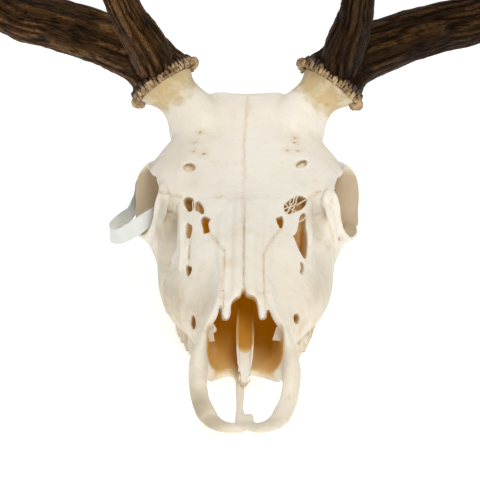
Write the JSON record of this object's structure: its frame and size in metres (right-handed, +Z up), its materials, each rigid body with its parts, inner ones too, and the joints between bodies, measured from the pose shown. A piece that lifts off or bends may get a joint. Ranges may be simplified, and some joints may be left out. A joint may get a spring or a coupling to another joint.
{
  "type": "red deer skull with antlers",
  "caption": "Cleaned life-size stag skull without its lower jaw, with branched antlers on short stalks and a plain plastic strap in one eye socket.",
  "frame": {"origin": "middle of the object's underside, on the plane of the worn teeth", "axes": "+X to the animal's left, across the spread of the antlers; -Y towards the nose; +Z up"},
  "size_m": [0.7356, 0.434, 0.6623],
  "materials": {
    "bone": "matte, bleached bone with tan stains in the hollows",
    "antler": "satin, dark brown and ridged, with tan pearls at the burr",
    "strap": "satin white plastic band"
  },
  "bodies": {
    "root": {"nasal_left": "bone", "nasal_right": "bone", "premaxilla_left": "bone", "premaxilla_right": "bone", "zygomatic_left": "bone", "zygomatic_right": "bone", "frontal": "bone", "maxilla_left": "bone", "maxilla_right": "bone", "braincase": "bone", "vomer": "bone", "antler_left_base": "antler", "antler_left_beam_lower": "antler", "antler_left_beam_upper": "antler", "antler_left_brow_tine": "antler", "antler_left_trez_tine": "antler", "antler_left_crown_front": "antler", "antler_left_crown_back": "antler", "antler_left_crown_top": "antler", "antler_right_base": "antler", "antler_right_beam_lower": "antler", "antler_right_beam_upper": "antler", "antler_right_brow_tine": "antler", "antler_right_trez_tine": "antler", "antler_right_crown_front": "antler", "antler_right_crown_back": "antler", "antler_right_crown_top": "antler", "tag_strap": "strap"}
  },
  "joints": []
}
